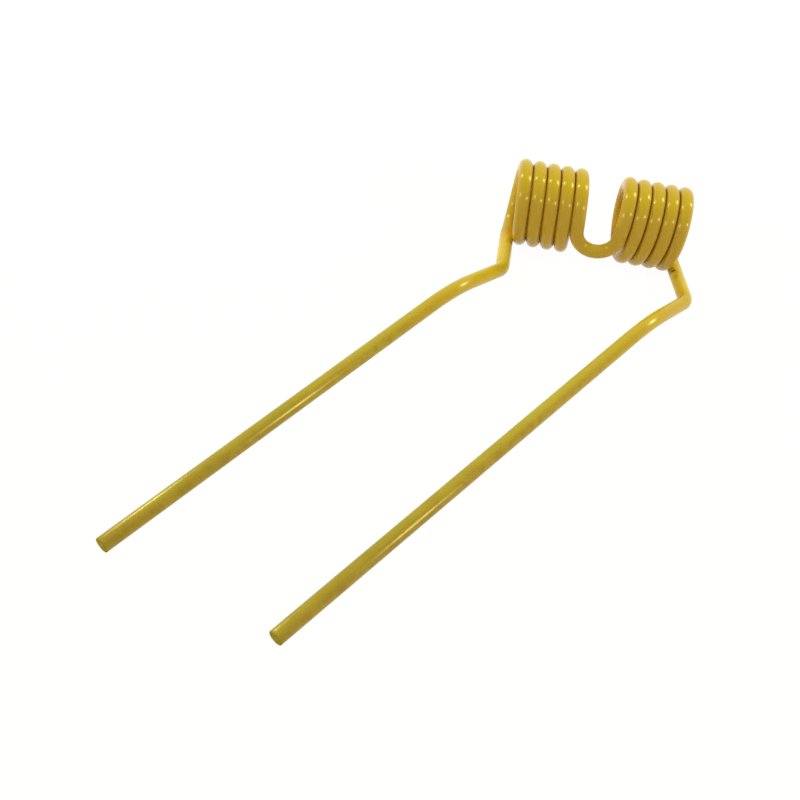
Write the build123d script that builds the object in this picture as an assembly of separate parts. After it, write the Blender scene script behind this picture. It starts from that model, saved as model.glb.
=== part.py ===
from build123d import *
import math
import os

# A double tine bent from one length of round spring wire: two coils wound as mirror images,
# a narrow bridge that joins them, and a leg running out from the far end of each coil.
# The wire is laid out with the coils along X, the bridge pointing down and the legs leaving
# forward, towards -Y. It is then turned to lie on a floor at Z = 0, as it comes to rest.

# Wire and coils, in millimetres
wire_diameter = 9.0
coil_inside_diameter = 38.0
turn_gap = 0.15
coil_turns = 4.75
bridge_half_width = 13.7

# How far the coils stand out of one line with each other, in degrees
coil_sweep_back = 2.2
coil_droop = 1.8

# Straight runs of a leg, measured to the corners where two runs would meet, in millimetres
first_run = 4.0
exit_run = 41.0
shank_run = 56.0
right_leg_run = 302.0
left_leg_run = 262.0

# Bend radii at the wire's centre and the rounding of its cut ends, in millimetres
lean_bend_radius = 36.0
kink_bend_radius = 13.0
knee_bend_radius = 96.0
end_edge_radius = 0.6

# Directions of the runs: sideways towards -X from straight ahead, and upwards, in degrees
exit_lean = 5.0
shank_heading = 31.5
shank_rise = 13.0
leg_heading = 36.25
leg_rise = -9.25

wire_radius = wire_diameter / 2
coil_radius = (coil_inside_diameter + wire_diameter) / 2
coil_pitch = wire_diameter + turn_gap
coil_length = coil_pitch * coil_turns


def run_direction(sideways, upwards):
    """Unit direction turned sideways towards -X from straight ahead, then raised."""
    side = math.radians(sideways)
    rise = math.radians(upwards)
    level = math.cos(rise)
    return Vector(-math.sin(side) * level, -math.cos(side) * level, math.sin(rise))


def right_coil():
    """Centreline of the right coil, from the bridge at the front to its far end underneath."""
    winding = Helix(coil_pitch, coil_length, coil_radius, lefthand=True)
    axis = Plane(origin=(bridge_half_width, 0, 0), x_dir=(0, -1, 0), z_dir=(1, 0, 0))
    hinge = Pos(0, -coil_radius, 0)
    turned = hinge * Rot(Z=coil_sweep_back) * Rot(Y=coil_droop) * hinge.inverse()
    return turned * axis.location * winding


def leg(coil, leg_run):
    """Centreline of a leg, from the far end of its coil to its tip."""
    leaving = coil % 1
    leaning = (leaving + Vector(math.tan(math.radians(exit_lean)), 0, 0)).normalized()
    runs = (
        leaving * first_run,
        leaning * exit_run,
        run_direction(shank_heading, shank_rise) * shank_run,
        run_direction(leg_heading, leg_rise) * leg_run,
    )
    corners = [coil @ 1]
    for run in runs:
        corners.append(corners[-1] + run)
    return FilletPolyline(*corners, radius=(lean_bend_radius, kink_bend_radius, knee_bend_radius))


def sampled(line, steps=400):
    """Points spaced along each edge of a centreline."""
    return [edge @ (step / steps) for edge in line.edges() for step in range(steps + 1)]


def floor_under(*stretches, rounds=8):
    """Plane that touches the wire from below once in each of three stretches of centreline."""
    groups = [sampled(stretch) for stretch in stretches]
    up = Vector(0, 0, 1)
    for _ in range(rounds):
        first, second, third = (min(group, key=up.dot) for group in groups)
        normal = (second - first).cross(third - first).normalized()
        up = normal if normal.Z > 0 else -normal
    return Plane(origin=first - up * wire_radius, x_dir=Vector(1, 0, 0), z_dir=up)


# Centreline of the whole wire, from the tip of the right leg to the tip of the left leg
coil_right = right_coil()
coil_left = coil_right.mirror(Plane.YZ)
bridge = TangentArc(coil_right @ 0, coil_left @ 0, tangent=-(coil_right % 0))
leg_right = leg(coil_right, right_leg_run)
leg_left = leg(coil_left, left_leg_run)
legs = Curve([leg_right, leg_left])
centreline = Wire([*leg_right.edges(), coil_right, bridge, coil_left, *leg_left.edges()])

# The wire itself, with the sharp edge taken off both cut ends
section = Plane(origin=leg_right @ 1, z_dir=leg_right % 1) * Circle(wire_radius)
tine = sweep(section, path=centreline).solid()
cut_ends = tine.faces().filter_by(GeomType.PLANE)
tine = fillet([edge for face in cut_ends for edge in face.edges()], end_edge_radius)

# Laid on the floor and centred over the origin
tine = floor_under(coil_left, coil_right, legs).location.inverse() * tine
box = tine.bounding_box(optimal=True)
tine = Pos(-box.center().X, -box.center().Y, -box.min.Z) * tine

os.makedirs("parts", exist_ok=True)
export_step(tine, "parts/tine.step")
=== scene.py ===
import math

import bpy
import numpy as np
from mathutils import Euler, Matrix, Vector


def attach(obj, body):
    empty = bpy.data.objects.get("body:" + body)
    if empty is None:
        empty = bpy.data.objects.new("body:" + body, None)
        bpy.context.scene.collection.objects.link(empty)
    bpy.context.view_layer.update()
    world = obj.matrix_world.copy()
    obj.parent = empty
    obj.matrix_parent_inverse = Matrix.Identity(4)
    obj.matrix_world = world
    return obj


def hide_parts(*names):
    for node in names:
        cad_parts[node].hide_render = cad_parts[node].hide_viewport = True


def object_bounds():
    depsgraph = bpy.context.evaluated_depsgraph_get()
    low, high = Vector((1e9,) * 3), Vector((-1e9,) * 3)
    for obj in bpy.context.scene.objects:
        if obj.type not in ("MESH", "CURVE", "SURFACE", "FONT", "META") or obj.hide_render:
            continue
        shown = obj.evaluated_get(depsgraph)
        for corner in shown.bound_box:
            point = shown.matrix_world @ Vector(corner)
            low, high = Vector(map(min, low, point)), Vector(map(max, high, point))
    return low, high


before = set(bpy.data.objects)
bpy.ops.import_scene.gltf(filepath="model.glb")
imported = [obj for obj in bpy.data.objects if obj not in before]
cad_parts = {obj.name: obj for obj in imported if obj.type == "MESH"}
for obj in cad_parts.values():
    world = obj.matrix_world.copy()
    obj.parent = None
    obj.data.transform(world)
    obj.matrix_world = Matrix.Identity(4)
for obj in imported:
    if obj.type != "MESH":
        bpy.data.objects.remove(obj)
cad_low, cad_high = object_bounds()

# The viewpoint: a hand-held camera in front of the tine and above it, turned a little about its
# own line of sight, so that the coils run downhill to the right.
camera_place = (-0.00495, -0.46350, 0.51836)
camera_turn = (40.82, -6.051, 8.539)
camera_lens = 53.01
camera_nearest = 0.01

camera = bpy.data.objects.new("camera", bpy.data.cameras.new("camera"))
camera.location = camera_place
camera.rotation_euler = Euler([math.radians(angle) for angle in camera_turn], "XYZ")
camera.data.lens = camera_lens
camera.data.clip_start = camera_nearest
bpy.context.scene.collection.objects.link(camera)
bpy.context.scene.camera = camera

# The coils: round spring steel wire wound on a mandrel, four and three quarter turns that all
# but touch. The left coil is the right one's mirror image. The wire is laid out here with the
# coils along X, the bridge pointing down and the legs leaving towards -Y, in millimetres.
mm = 0.001
wire_radius = 4.5
coil_radius = 23.5
coil_pitch = 9.15
coil_turns = 4.75
turn_steps = 72
bridge_half_width = 13.7
coil_sweep_back = math.radians(2.2)
coil_droop = math.radians(1.8)


def unit(vector):
    """The same direction, one long."""
    return vector / np.linalg.norm(vector)


def wound_coil():
    """Centreline of the right coil as wound, from the bridge to its far end underneath."""
    angle = np.arange(round(coil_turns * turn_steps) + 1) * 2 * math.pi / turn_steps
    along = bridge_half_width + coil_pitch * angle / (2 * math.pi)
    level = np.stack([along, -coil_radius * np.cos(angle), coil_radius * np.sin(angle)], axis=1)
    hinge = np.array([bridge_half_width, -coil_radius, 0.0])
    x, y, z = (level - hinge).T
    drooped = np.stack([x * math.cos(coil_droop) + z * math.sin(coil_droop),
                        y,
                        z * math.cos(coil_droop) - x * math.sin(coil_droop)], axis=1)
    x, y, z = drooped.T
    swept = np.stack([x * math.cos(coil_sweep_back) - y * math.sin(coil_sweep_back),
                      x * math.sin(coil_sweep_back) + y * math.cos(coil_sweep_back),
                      z], axis=1)
    return swept + hinge


coil_right = wound_coil()
coil_left = coil_right * (-1, 1, 1)

# The bridge: the middle of the wire, bent half round between the coils before they are wound.
# The holder's bolt goes through it.
bridge_steps = 30


def tangent_arc(start, end, direction, steps):
    """Points of the round arc that leaves start in a direction and ends at end."""
    chord = end - start
    across = unit(chord - chord.dot(direction) * direction)
    opening = math.acos(unit(chord).dot(direction))
    radius = np.linalg.norm(chord) / (2 * math.sin(opening))
    angle = np.linspace(0.0, 2 * opening, steps + 1)[:, None]
    return start + radius * (np.sin(angle) * direction + (1 - np.cos(angle)) * across)


def end_direction(line):
    """Direction in which a winding runs on from its last point, half a step past its last chord."""
    last, before = unit(line[-1] - line[-2]), unit(line[-2] - line[-3])
    return unit(last + (last - before) / 2)


bridge = tangent_arc(coil_right[0], coil_left[0], end_direction(coil_right[::-1]), bridge_steps)

# The legs: each leaves its coil underneath, leans a little to the right, turns a tight kink and
# then a wide bend, and runs straight to its tip. Both reach the same way, and the right one is
# longer. The bends are pressed round dies before the spring is hardened.
right_leg_run = 302.0
left_leg_run = 262.0
first_run = 4.0
exit_run = 41.0
shank_run = 56.0
lean_bend_radius = 36.0
kink_bend_radius = 13.0
knee_bend_radius = 96.0
exit_lean = math.radians(5.0)
shank_heading, shank_rise = 31.5, 13.0
leg_heading, leg_rise = 36.25, -9.25
bend_step = math.radians(3.0)
run_step = 3.0


def heading(sideways, upwards):
    """Direction of a run: sideways to the left of straight ahead, then up, in degrees."""
    side, rise = math.radians(sideways), math.radians(upwards)
    level = math.cos(rise)
    return np.array([-math.sin(side) * level, -math.cos(side) * level, math.sin(rise)])


def straight(start, end):
    """Evenly spaced points from start to end, without start."""
    count = max(1, round(np.linalg.norm(end - start) / run_step))
    return [start + (end - start) * step / count for step in range(1, count + 1)]


def bent_leg(coil, leg_run):
    """Centreline of a leg from the end of its coil to its tip, without its first point."""
    leaving = end_direction(coil)
    leaning = unit(leaving + np.array([math.tan(exit_lean), 0.0, 0.0]))
    runs = [leaving * first_run,
            leaning * exit_run,
            heading(shank_heading, shank_rise) * shank_run,
            heading(leg_heading, leg_rise) * leg_run]
    corners = [coil[-1]]
    for run in runs:
        corners.append(corners[-1] + run)
    radii = [lean_bend_radius, kink_bend_radius, knee_bend_radius]
    line = []
    here = corners[0]
    for before, corner, after, radius in zip(corners, corners[1:], corners[2:], radii):
        arriving, going = unit(corner - before), unit(after - corner)
        bend = math.acos(arriving.dot(going))
        setback = radius * math.tan(bend / 2)
        start, end = corner - arriving * setback, corner + going * setback
        line += straight(here, start)
        line += list(tangent_arc(start, end, arriving, math.ceil(bend / bend_step))[1:])
        here = end
    return np.array(line + straight(here, corners[-1]))


leg_right = bent_leg(coil_right, right_leg_run)
leg_left = bent_leg(coil_left, left_leg_run)

# The whole wire: one length of 9 mm steel with both ends sheared square, dipped in enamel that
# rounds the sheared edges. It lies as it comes to rest, on both coils and the longer leg's tip.
around = 48
end_edge_radius = 0.6
edge_steps = 4
flat_rings = (0.15, 0.45, 0.75)
rest_tilt = math.radians(-6.1876)
inside_fade = 0.4

x, y, z = np.vstack([leg_right[::-1], coil_right[::-1], bridge[1:-1], coil_left, leg_left]).T
centreline = np.stack([x,
                       y * math.cos(rest_tilt) - z * math.sin(rest_tilt),
                       y * math.sin(rest_tilt) + z * math.cos(rest_tilt)], axis=1)
steps = np.diff(centreline, axis=0)
step_lengths = np.linalg.norm(steps, axis=1)
directions = steps / step_lengths[:, None]
tangents = np.vstack([directions[:1], directions[:-1] + directions[1:], directions[-1:]])
tangents /= np.linalg.norm(tangents, axis=1)[:, None]
distance = np.concatenate([[0.0], np.cumsum(step_lengths)])

# Directions out from the wire's middle, carried along it without twist
sides = [unit(np.cross(tangents[0], (0.0, 0.0, 1.0)))]
for tangent in tangents[1:]:
    sides.append(unit(sides[-1] - sides[-1].dot(tangent) * tangent))
sides = np.array(sides)
tops = np.cross(tangents, sides)
turn = (np.arange(around) * 2 * math.pi / around)[None, :, None]
outward = np.cos(turn) * sides[:, None, :] + np.sin(turn) * tops[:, None, :]


def cap(place, towards):
    """Rings from the flat of a sheared end out over its rounded edge, and how far in each lies."""
    flat = wire_radius - end_edge_radius
    ringed = [centreline[place] + outward[place] * flat * share for share in flat_rings]
    inward = [0.0] * len(flat_rings)
    for angle in np.linspace(math.pi / 2, 0.0, edge_steps + 1):
        inset = end_edge_radius * (1 - math.sin(angle))
        radius = flat + end_edge_radius * math.cos(angle)
        ringed.append(centreline[place] - towards * inset + outward[place] * radius)
        inward.append(inset)
    return ringed, inward


first_rings, first_inward = cap(0, -tangents[0])
last_rings, last_inward = cap(-1, tangents[-1])
tube = centreline[1:-1, None, :] + outward[1:-1] * wire_radius
rings = [*first_rings, *tube, *reversed(last_rings)]
vertices = np.vstack([*rings, centreline[:1], centreline[-1:]])

low, high = vertices.min(axis=0), vertices.max(axis=0)
cad_middle = (np.array(cad_low) + np.array(cad_high)) / 2 / mm
shift = np.array([cad_middle[0] - (low[0] + high[0]) / 2,
                  cad_middle[1] - (low[1] + high[1]) / 2,
                  cad_low[2] / mm - low[2]])
vertices = (vertices + shift) * mm

faces = []
for ring in range(len(rings) - 1):
    here, beyond = ring * around, (ring + 1) * around
    for spoke in range(around):
        following = (spoke + 1) % around
        faces.append((here + spoke, here + following, beyond + following, beyond + spoke))
first_centre, last_centre = len(vertices) - 2, len(vertices) - 1
last_ring = (len(rings) - 1) * around
for spoke in range(around):
    following = (spoke + 1) % around
    faces.append((first_centre, following, spoke))
    faces.append((last_centre, last_ring + spoke, last_ring + following))

mesh = bpy.data.meshes.new("tine_wire")
mesh.from_pydata(vertices.tolist(), [], faces)
mesh.shade_smooth()

# The die marks run along the wire: the first measure goes round it and the second along it
round_wire = [(spoke + corner) / around
              for _ in rings[1:] for spoke in range(around) for corner in (0, 1, 1, 0)]
along_wire = [ring + corner
              for ring in range(len(rings) - 1) for _ in range(around) for corner in (0, 0, 1, 1)]
cap_corners = [0.0] * (6 * around)
grain = np.column_stack([round_wire + cap_corners, along_wire + cap_corners])
mesh.uv_layers.new(name="grain").data.foreach_set("uv", grain.ravel())


def between_turns(coil, outward):
    """How squarely each point of a coil's wire faces the next turn: 1 where the two touch."""
    facing = outward.dot(unit(coil[turn_steps] - coil[0]))
    number = np.arange(len(coil))[:, None]
    turn_beyond = (facing > 0) & (number < len(coil) - turn_steps)
    turn_before = (facing < 0) & (number >= turn_steps)
    return np.where(turn_beyond | turn_before, np.abs(facing), 0.0)


def facing_inward(coil, outward):
    """How squarely each point of a coil's wire faces the coil's axis, fading at the coil's ends."""
    axis = unit(coil[turn_steps] - coil[0])
    spread = coil - coil[:turn_steps].mean(axis=0)
    spread = spread - spread.dot(axis)[:, None] * axis
    spread /= np.linalg.norm(spread, axis=1)[:, None]
    number = np.arange(len(coil))
    fade = np.clip(np.minimum(number, number[::-1]) / (turn_steps * inside_fade), 0.0, 1.0)
    return np.maximum(-(outward * spread[:, None, :]).sum(axis=2), 0.0) * fade[:, None]


def kept_on_points(name, on_wire, on_first_end=0.0, on_last_end=0.0, at_centres=(0.0, 0.0)):
    """A measure kept on the mesh's points for the enamel to read, ring by ring on the cut ends."""
    on_rings = np.empty((len(rings), around))
    on_rings[:len(first_rings)] = np.reshape(on_first_end, (-1, 1))
    on_rings[len(first_rings):-len(last_rings)] = np.reshape(on_wire[1:-1], (len(tube), -1))
    on_rings[-len(last_rings):] = np.reshape(on_last_end, (-1, 1))
    values = np.concatenate([on_rings.ravel(), at_centres])
    mesh.attributes.new(name, "FLOAT", "POINT").data.foreach_set("value", values)


start_right = len(leg_right)
start_left = start_right + len(coil_right) + bridge_steps - 1
end_left = start_left + len(coil_left) - 1
from_tip = np.minimum(distance, distance[-1] - distance)
from_coil = np.maximum(distance[start_right] - distance, 0)
from_coil += np.maximum(distance - distance[end_left], 0)
groove = np.zeros((len(centreline), around))
inside = np.zeros((len(centreline), around))
for start, sense in ((start_right, -1), (start_left, 1)):
    span = slice(start, start + len(coil_right))
    coil, coil_outward = centreline[span][::sense], outward[span][::sense]
    groove[span] = between_turns(coil, coil_outward)[::sense]
    inside[span] = facing_inward(coil, coil_outward)[::sense]

kept_on_points("from_tip", from_tip, first_inward, last_inward[::-1])
kept_on_points("from_coil", from_coil, from_coil[0], from_coil[-1], from_coil[[0, -1]])
kept_on_points("groove", groove)
kept_on_points("inside", inside)

wire = bpy.data.objects.new("tine_wire", mesh)
bpy.context.scene.collection.objects.link(wire)
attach(wire, "root")
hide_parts("tine")

# The enamel: a thick yellow gloss paint over the whole wire, put on by dipping and baked. The
# grain of the drawn wire shows through its gloss. Its colour is laid down here from the base coat
# up, with the sizes and places of its patches in millimetres.
gloss_tint = (1.0, 0.83, 0.36, 1.0)
gloss_ior = 1.39
grain_strength = 0.90

enamel = bpy.data.materials.new("enamel")
enamel.use_nodes = True
nodes = enamel.node_tree.nodes
links = enamel.node_tree.links
shader = nodes["Principled BSDF"]
shader.inputs["IOR"].default_value = gloss_ior
shader.inputs["Specular Tint"].default_value = gloss_tint
shader.inputs["Anisotropic"].default_value = grain_strength
wire_space = nodes.new("ShaderNodeTexCoord")
position = wire_space.outputs["Object"]
normal = wire_space.outputs["Normal"]


def wire_value(name):
    """A measure kept on the wire's points."""
    node = nodes.new("ShaderNodeAttribute")
    node.attribute_name = name
    return node.outputs["Fac"]


def blotches(size, detail=3.0):
    """Soft noise whose patches are about a size in millimetres."""
    node = nodes.new("ShaderNodeTexNoise")
    node.inputs["Scale"].default_value = 1 / (size * mm)
    node.inputs["Detail"].default_value = detail
    links.new(position, node.inputs["Vector"])
    return node.outputs["Fac"]


def between(value, low, high, at_low=0.0, at_high=1.0):
    """A value carried smoothly from one span to another and held at its ends."""
    node = nodes.new("ShaderNodeMapRange")
    node.interpolation_type = "SMOOTHSTEP"
    node.inputs["From Min"].default_value = low
    node.inputs["From Max"].default_value = high
    node.inputs["To Min"].default_value = at_low
    node.inputs["To Max"].default_value = at_high
    links.new(value, node.inputs["Value"])
    return node.outputs["Result"]


def within(value, low, high, most=1.0):
    """A cover that is at its most below a span and nothing above it."""
    return between(value, low, high, most, 0.0)


def figured(operation, first, second):
    """Two values, or a value and a number, put together by arithmetic."""
    node = nodes.new("ShaderNodeMath")
    node.operation = operation
    for socket, given in zip(node.inputs, (first, second)):
        if isinstance(given, (int, float)):
            socket.default_value = given
        else:
            links.new(given, socket)
    return node.outputs["Value"]


def both(first, second):
    """What two covers leave together."""
    return figured("MULTIPLY", first, second)


def laid_over(under, over, cover):
    """A colour laid over another as far as it covers."""
    node = nodes.new("ShaderNodeMix")
    node.data_type = "RGBA"
    for socket, given in ((node.inputs["A"], under), (node.inputs["B"], over)):
        if isinstance(given, tuple):
            socket.default_value = given
        else:
            links.new(given, socket)
    links.new(cover, node.inputs["Factor"])
    return node.outputs["Result"]


# Base coat: golden on the coils and more lemon along the legs, in wide soft patches with flecks
lemon = (0.522, 0.408, 0.052, 1.0)
golden = (0.598, 0.378, 0.062, 1.0)
patch_size, patch_levels, thinnest_patch = 34.0, (0.30, 0.62), 0.35
fleck_size, fleck_levels, fleck_cover = 6.0, (0.50, 0.72), 0.55
leg_beyond = (90.0, 190.0)
lemon_shares = (0.15, 0.9)

tip_distance = wire_value("from_tip")
coil_distance = wire_value("from_coil")
lemon_patches = between(blotches(patch_size), *patch_levels, 1.0, thinnest_patch)
lemon_share = between(coil_distance, *leg_beyond, *lemon_shares)
colour = laid_over(golden, lemon, both(lemon_patches, lemon_share))
flecks = between(blotches(fleck_size), *fleck_levels, 0.0, fleck_cover)
colour = laid_over(colour, golden, flecks)

# Coils: painted light and shade by facing: a lemon painted light on the tops, a clearer yellow
# painted bounce light underneath, and a bright golden painted glow inside the turns
lit_top_lemon = (0.603, 0.404, 0.018, 1.0)
bounce_lit_under_golden = (0.610, 0.425, 0.0, 1.0)
inner_glow_golden = (0.790, 0.525, 0.035, 1.0)
coil_end = (0.0, 26.0)
top_faces = (0.55, 1.0)
under_faces = (-0.65, -0.10)
inside_faces = (0.15, 0.70)

facing_up = nodes.new("ShaderNodeSeparateXYZ")
links.new(normal, facing_up.inputs[0])
upward = facing_up.outputs["Z"]
on_coil = within(coil_distance, *coil_end)
off_coil = between(coil_distance, *coil_end)
colour = laid_over(colour, lit_top_lemon, both(on_coil, between(upward, *top_faces)))
colour = laid_over(colour, bounce_lit_under_golden, both(on_coil, within(upward, *under_faces)))
colour = laid_over(colour, inner_glow_golden, between(wire_value("inside"), *inside_faces))

# Exits and shanks: a strong yellow on the shanks, and by the exits a bright golden painted light
# that lifts the shade the coils cast there
shank_golden = (0.625, 0.420, 0.028, 1.0)
exit_light_golden = (0.82, 0.590, 0.095, 1.0)
shank_within = (90.0, 175.0)
exit_light_within = (30.0, 56.0)

colour = laid_over(colour, shank_golden, both(off_coil, within(coil_distance, *shank_within)))
colour = laid_over(colour, exit_light_golden, both(off_coil, within(coil_distance, *exit_light_within)))

# Legs: a pale lemon painted light on the side turned up, back and to the left, where the light
# falls, and patchy brown painted shade on the side turned away from it.
# Weather and crop have dulled them towards the tips.
lit_side_lemon = (0.592, 0.480, 0.048, 1.0)
dulled = (0.347, 0.237, 0.038, 1.0)
shade_brown = (0.34, 0.165, 0.020, 1.0)
lit_side = (-0.60, 0.45, 0.66)
lit_faces, lit_cover = (-0.1, 0.8), 0.85
shaded_faces = (-0.1, 0.5)
dulled_within, dulled_cover = (60.0, 330.0), 0.75
dulling_size, dulling_levels, least_dulling = 18.0, (0.25, 0.75), 0.6
shade_patch_size, shade_patch_levels, shade_patch_cover = 5.0, (0.44, 0.62), 0.32

facing = nodes.new("ShaderNodeVectorMath")
facing.operation = "DOT_PRODUCT"
facing.inputs[1].default_value = lit_side
links.new(normal, facing.inputs[0])
on_leg = between(coil_distance, *leg_beyond)
painted_light_cover = between(facing.outputs["Value"], *lit_faces, 0.0, lit_cover)
shaded_side = within(facing.outputs["Value"], *shaded_faces, shade_patch_cover)
colour = laid_over(colour, lit_side_lemon, both(painted_light_cover, on_leg))
towards_tip = within(tip_distance, *dulled_within, dulled_cover)
uneven_dulling = between(blotches(dulling_size), *dulling_levels, least_dulling, 1.0)
colour = laid_over(colour, dulled, both(towards_tip, uneven_dulling))
shade_patches = between(blotches(shade_patch_size), *shade_patch_levels)
colour = laid_over(colour, shade_brown, both(shade_patches, both(shaded_side, on_leg)))

# Marks: a deep yellow stretch past the right kink, an orange patch beside the left coil, brown
# painted shade in the creases where the turns touch, and a chip and a scuff below the right coil
deep_golden = (0.610, 0.392, 0.0, 1.0)
warm_orange = (0.80, 0.33, 0.010, 1.0)
groove_shade_brown = (0.32, 0.145, 0.016, 1.0)
rust_brown = (0.17, 0.060, 0.010, 1.0)
deep_place, deep_reach, deep_ragged, deep_cover = (137.0, 88.0, 17.0), 34.0, 3.0, 0.9
warm_place, warm_reach, warm_ragged, warm_cover = (32.3, 144.0, 9.9), 5.0, 1.5, 0.55
groove_shade_faces, groove_shade_cover = (0.94, 0.995), 0.7
scuff_place, scuff_reach, scuff_ragged, scuff_cover = (143.7, 129.6, 10.6), 3.6, 1.8, 0.30
scuff_squash = (1.3, 1.0, 1.3)
chip_place, chip_reach, chip_ragged, chip_cover = (142.4, 135.4, 9.8), 3.0, 1.6, 0.95
chip_squash = (1.0, 2.0, 1.0)
ragged_size, ragged_detail = 1.2, 2.0
full_within = 0.55


def spot(place, reach, ragged, cover, squash=(1.0, 1.0, 1.0)):
    """A patch round a place that covers most at its middle and has a ragged edge."""
    offset = nodes.new("ShaderNodeVectorMath")
    offset.operation = "SUBTRACT"
    offset.inputs[1].default_value = [value * mm for value in place]
    links.new(position, offset.inputs[0])
    squashed = nodes.new("ShaderNodeVectorMath")
    squashed.operation = "MULTIPLY"
    squashed.inputs[1].default_value = squash
    links.new(offset.outputs["Vector"], squashed.inputs[0])
    away = nodes.new("ShaderNodeVectorMath")
    away.operation = "LENGTH"
    links.new(squashed.outputs["Vector"], away.inputs[0])
    frayed = figured("MULTIPLY", blotches(ragged_size, ragged_detail), ragged * mm)
    edge = figured("ADD", away.outputs["Value"], frayed)
    return within(edge, reach * full_within * mm, reach * mm, cover)


colour = laid_over(colour, deep_golden, spot(deep_place, deep_reach, deep_ragged, deep_cover))
colour = laid_over(colour, warm_orange, spot(warm_place, warm_reach, warm_ragged, warm_cover))
# Brown painted shade in the creases between neighbouring turns
painted_groove_shade = between(wire_value("groove"), *groove_shade_faces, 0.0, groove_shade_cover)
colour = laid_over(colour, groove_shade_brown, painted_groove_shade)
scuff = spot(scuff_place, scuff_reach, scuff_ragged, scuff_cover, scuff_squash)
colour = laid_over(colour, rust_brown, scuff)
chip = spot(chip_place, chip_reach, chip_ragged, chip_cover, chip_squash)
colour = laid_over(colour, rust_brown, chip)

# Sheared ends: the enamel lies thin and olive over the flat, with a dark olive painted shade under
# the rounded edge
end_olive = (0.36, 0.275, 0.0, 1.0)
edge_shade_olive = (0.15, 0.125, 0.022, 1.0)
end_coat = (0.02, 0.12)
edge_coat = (0.45, 0.95)
edge_faces = (-0.5, 0.1)

shaded_under_edge = both(within(tip_distance, *edge_coat), within(upward, *edge_faces))
colour = laid_over(colour, edge_shade_olive, shaded_under_edge)
colour = laid_over(colour, end_olive, within(tip_distance, *end_coat))
links.new(colour, shader.inputs["Base Color"])

# Gloss: a little uneven all over, with a faint orange peel, and rougher over the sheared ends
shine = (0.205, 0.245)
shine_size, shine_detail, shine_levels = 9.0, 4.0, (0.3, 0.7)
end_dulling = 0.5
peel_size, peel_detail, peel_height = 3.0, 2.0, 0.012

uneven = between(blotches(shine_size, shine_detail), *shine_levels, *shine)
duller_ends = within(tip_distance, *edge_coat, end_dulling)
links.new(figured("ADD", uneven, duller_ends), shader.inputs["Roughness"])
across_grain = nodes.new("ShaderNodeTangent")
across_grain.direction_type = "UV_MAP"
across_grain.uv_map = "grain"
links.new(across_grain.outputs["Tangent"], shader.inputs["Tangent"])
bump = nodes.new("ShaderNodeBump")
bump.inputs["Distance"].default_value = peel_height * mm
links.new(blotches(peel_size, peel_detail), bump.inputs["Height"])
links.new(bump.outputs["Normal"], shader.inputs["Normal"])
mesh.materials.append(enamel)

# The floor: a sheet of warm white paper, which throws light back up at the tine. What the camera,
# gloss and glass see of it is nearly all plain white, and the rest takes the tine's soft shadow.
floor_size = 8.0
floor_drop = 0.0002
paper_white = (0.97, 0.90, 0.76, 1.0)
paper_glow = 0.92
paper_bright = 1.05

half = floor_size / 2
corners = [(-half, -half, -floor_drop), (half, -half, -floor_drop),
           (half, half, -floor_drop), (-half, half, -floor_drop)]
floor_mesh = bpy.data.meshes.new("floor")
floor_mesh.from_pydata(corners, [], [(0, 1, 2, 3)])
floor = bpy.data.objects.new("floor", floor_mesh)
bpy.context.scene.collection.objects.link(floor)


def seen_rays():
    """1 for what the camera sees straight, in the gloss or through glass, and 0 for lighting."""
    rays = nodes.new("ShaderNodeLightPath").outputs
    straight_or_gloss = figured("MAXIMUM", rays["Is Camera Ray"], rays["Is Glossy Ray"])
    return figured("MAXIMUM", straight_or_gloss, rays["Is Transmission Ray"])


def mixed(unseen, seen, cover, surface):
    """One shader that lights the tine and another that covers it where it is seen."""
    mix = nodes.new("ShaderNodeMixShader")
    links.new(cover, mix.inputs["Fac"])
    links.new(unseen.outputs[0], mix.inputs[1])
    links.new(seen.outputs[0], mix.inputs[2])
    links.new(mix.outputs[0], surface)


paper = bpy.data.materials.new("paper")
paper.use_nodes = True
nodes = paper.node_tree.nodes
links = paper.node_tree.links
sheet = nodes["Principled BSDF"]
sheet.inputs["Base Color"].default_value = paper_white
sheet.inputs["Roughness"].default_value = 1.0
sheet.inputs["Specular IOR Level"].default_value = 0.0
white = nodes.new("ShaderNodeEmission")
white.inputs["Strength"].default_value = paper_bright
mixed(sheet, white, both(seen_rays(), paper_glow), nodes["Material Output"].inputs["Surface"])
floor_mesh.materials.append(paper)

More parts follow.
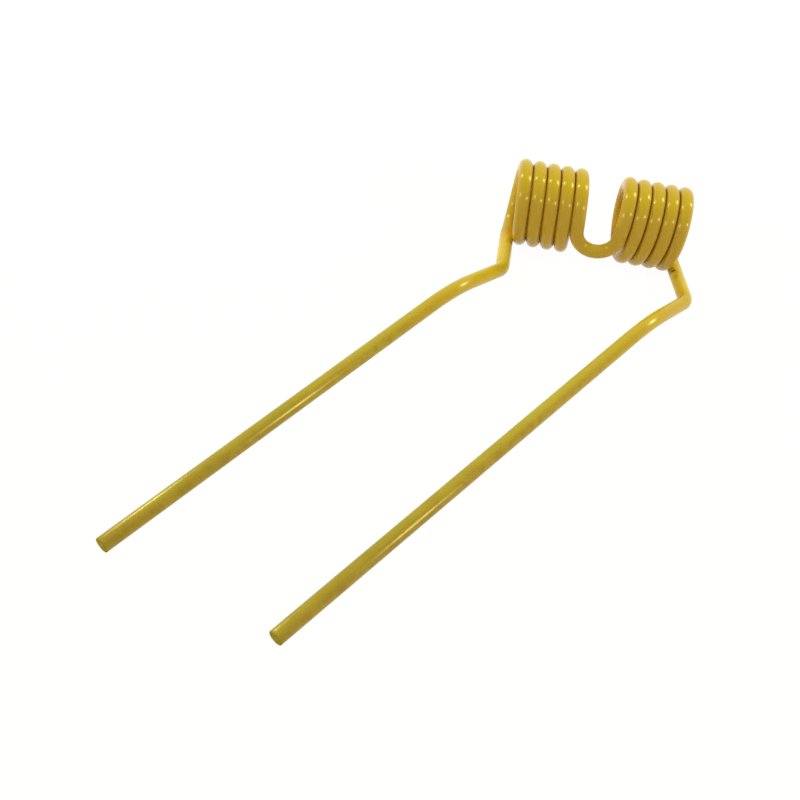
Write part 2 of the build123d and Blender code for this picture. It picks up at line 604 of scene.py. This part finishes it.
# The studio round it: a low warm light from all sides, as from papered walls, that is plain white
# where the camera, gloss and glass see it.
fill_tint = (1.0, 0.88, 0.45, 1.0)
fill_strength = 0.32
studio_white = (1.0, 1.0, 1.0, 1.0)

studio = bpy.data.worlds.new("studio")
bpy.context.scene.world = studio
studio.use_nodes = True
nodes = studio.node_tree.nodes
links = studio.node_tree.links
fill = nodes["Background"]
fill.inputs["Color"].default_value = fill_tint
fill.inputs["Strength"].default_value = fill_strength
backdrop = nodes.new("ShaderNodeBackground")
backdrop.inputs["Color"].default_value = studio_white
mixed(fill, backdrop, seen_rays(), nodes["World Output"].inputs["Surface"])

# The lamps: two round ones behind the tine and two beside it, which the gloss picks up as rows of
# dots on the coils and streaks on the legs, and a soft wide panel above that it doesn't pick up.
# Each has its place, size and power.
lamp_tint = (0.94, 1.0, 0.62)
lamps = {
    "back_left_lamp": ((-0.817, 0.706, 0.580), 0.13, 3.7),
    "back_right_lamp": ((2.17, 1.58, 1.33), 0.38, 24.0),
    "front_left_lamp": ((-1.82, -0.48, 1.14), 0.30, 12.5),
    "front_right_lamp": ((1.715, -0.407, 0.981), 0.10, 10.0),
}
panel_tint = (0.88, 1.0, 0.30)
panel_place, panel_size, panel_power = (0.06, 0.50, 0.66), 0.8, 2.4
aimed_at = (0.03, 0.05, 0.03)


def aimed_lamp(name, place, size, power, tint):
    """A round flat lamp at a place, turned to face the tine."""
    lamp = bpy.data.objects.new(name, bpy.data.lights.new(name, "AREA"))
    lamp.data.shape = "DISK"
    lamp.data.size = size
    lamp.data.energy = power
    lamp.data.color = tint
    lamp.location = place
    lamp.rotation_euler = (Vector(aimed_at) - Vector(place)).to_track_quat("-Z", "Y").to_euler()
    bpy.context.scene.collection.objects.link(lamp)
    return lamp


for name, (place, size, power) in lamps.items():
    aimed_lamp(name, place, size, power, lamp_tint)
panel = aimed_lamp("back_panel", panel_place, panel_size, panel_power, panel_tint)
panel.visible_glossy = False

bpy.context.scene.view_settings.view_transform = "Standard"
